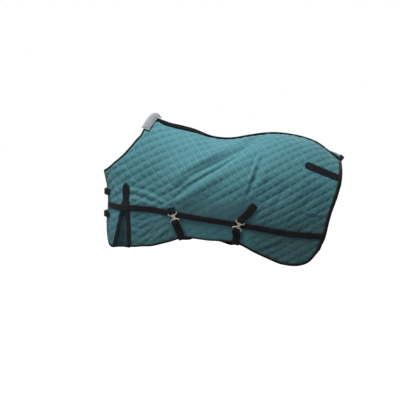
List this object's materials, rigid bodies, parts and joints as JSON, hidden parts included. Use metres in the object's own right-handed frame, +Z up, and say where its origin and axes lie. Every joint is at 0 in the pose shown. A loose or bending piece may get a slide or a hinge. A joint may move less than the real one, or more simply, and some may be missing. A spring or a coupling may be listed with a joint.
{
  "type": "turnout rug",
  "caption": "Quilted horse turnout rug in its worn shape, with chest buckles, shoulder gussets, side surcingle webbing, crossed belly straps and a tail strap.",
  "frame": {"origin": "on the horse's withers, in the middle plane, where the spine seam starts", "axes": "+X towards the tail, +Y towards the rug's right (off) side, +Z up"},
  "size_m": [1.6036, 0.5968, 1.0032],
  "materials": {
    "shell_cloth": "diamond-quilted teal woven nylon, slight sheen",
    "lining_cloth": "smooth dark woven nylon lining",
    "black_tape": "black folded polypropylene edging tape",
    "black_webbing": "black ribbed polypropylene webbing",
    "wither_fleece": "light grey fleece with a bound edge",
    "fitting_metal": "dulled nickel-brass plate, satin, slightly scratched"
  },
  "bodies": {
    "rug": {"quilt_left": "shell_cloth", "quilt_right": "shell_cloth", "gusset_left": "shell_cloth", "gusset_right": "shell_cloth", "lining_left": "lining_cloth", "lining_right": "lining_cloth", "spine_tape": "black_tape", "neck_binding_left": "black_tape", "front_binding_left": "black_tape", "rear_binding_left": "black_tape", "hem_binding_left": "black_tape", "neck_binding_right": "black_tape", "front_binding_right": "black_tape", "rear_binding_right": "black_tape", "hem_binding_right": "black_tape", "gusset_patch_left": "black_tape", "gusset_patch_right": "black_tape", "gusset_front_tape_left": "black_tape", "gusset_rear_tape_left": "black_tape", "gusset_front_tape_right": "black_tape", "gusset_rear_tape_right": "black_tape", "surcingle_left": "black_webbing", "surcingle_right": "black_webbing", "tail_band_left": "black_webbing", "tail_band_right": "black_webbing", "tail_strap": "black_webbing", "anchor_front": "black_webbing", "anchor_rear": "black_webbing", "anchor_far_front": "black_webbing", "anchor_far_rear": "black_webbing", "belly_strap_front": "black_webbing", "belly_strap_rear": "black_webbing", "chest_chape_upper": "black_webbing", "chest_billet_upper": "black_webbing", "chest_chape_lower": "black_webbing", "chest_billet_lower": "black_webbing", "wither_pad": "wither_fleece", "clip_plate_front": "fitting_metal", "clip_hook_front": "fitting_metal", "clip_plate_rear": "fitting_metal", "clip_hook_rear": "fitting_metal", "buckle_frame_upper": "fitting_metal", "buckle_frame_lower": "fitting_metal"},
    "tongue_upper": {"buckle_tongue_upper": "fitting_metal"},
    "tongue_lower": {"buckle_tongue_lower": "fitting_metal"},
    "roller_upper": {"buckle_roller_upper": "fitting_metal"},
    "roller_lower": {"buckle_roller_lower": "fitting_metal"},
    "keeper_loop_upper": {"keeper_upper": "black_webbing"},
    "keeper_loop_lower": {"keeper_lower": "black_webbing"},
    "strap_slide_front": {"slide_front": "fitting_metal"},
    "strap_slide_rear": {"slide_rear": "fitting_metal"}
  },
  "joints": [
    {"name": "tongue_upper_lift", "type": "hinge", "parent": "rug", "child": "tongue_upper", "pos_m": [-0.33833, -0.0212, -0.49], "axis": [0, 0, 1], "range_deg": [0, 30]},
    {"name": "roller_upper_spin", "type": "hinge", "parent": "rug", "child": "roller_upper", "pos_m": [-0.33833, 0.0212, -0.49], "axis": [0, 0, 1], "continuous": true},
    {"name": "keeper_upper_slide", "type": "slide", "parent": "rug", "child": "keeper_loop_upper", "axis": [0.3549, -0.9349, 0], "range_m": [-0.006, 0.006]},
    {"name": "tongue_lower_lift", "type": "hinge", "parent": "rug", "child": "tongue_lower", "pos_m": [-0.34236, -0.0212, -0.64], "axis": [0, 0, 1], "range_deg": [0, 30]},
    {"name": "roller_lower_spin", "type": "hinge", "parent": "rug", "child": "roller_lower", "pos_m": [-0.34236, 0.0212, -0.64], "axis": [0, 0, 1], "continuous": true},
    {"name": "keeper_lower_slide", "type": "slide", "parent": "rug", "child": "keeper_loop_lower", "axis": [0.3549, -0.9349, 0], "range_m": [-0.006, 0.006]},
    {"name": "strap_slide_front_travel", "type": "slide", "parent": "rug", "child": "strap_slide_front", "axis": [0.5689, 0.8071, -0.1579], "range_m": [-0.006, 0.006]},
    {"name": "strap_slide_rear_travel", "type": "slide", "parent": "rug", "child": "strap_slide_rear", "axis": [-0.5703, 0.8214, 0.0057], "range_m": [-0.005, 0.005]}
  ]
}
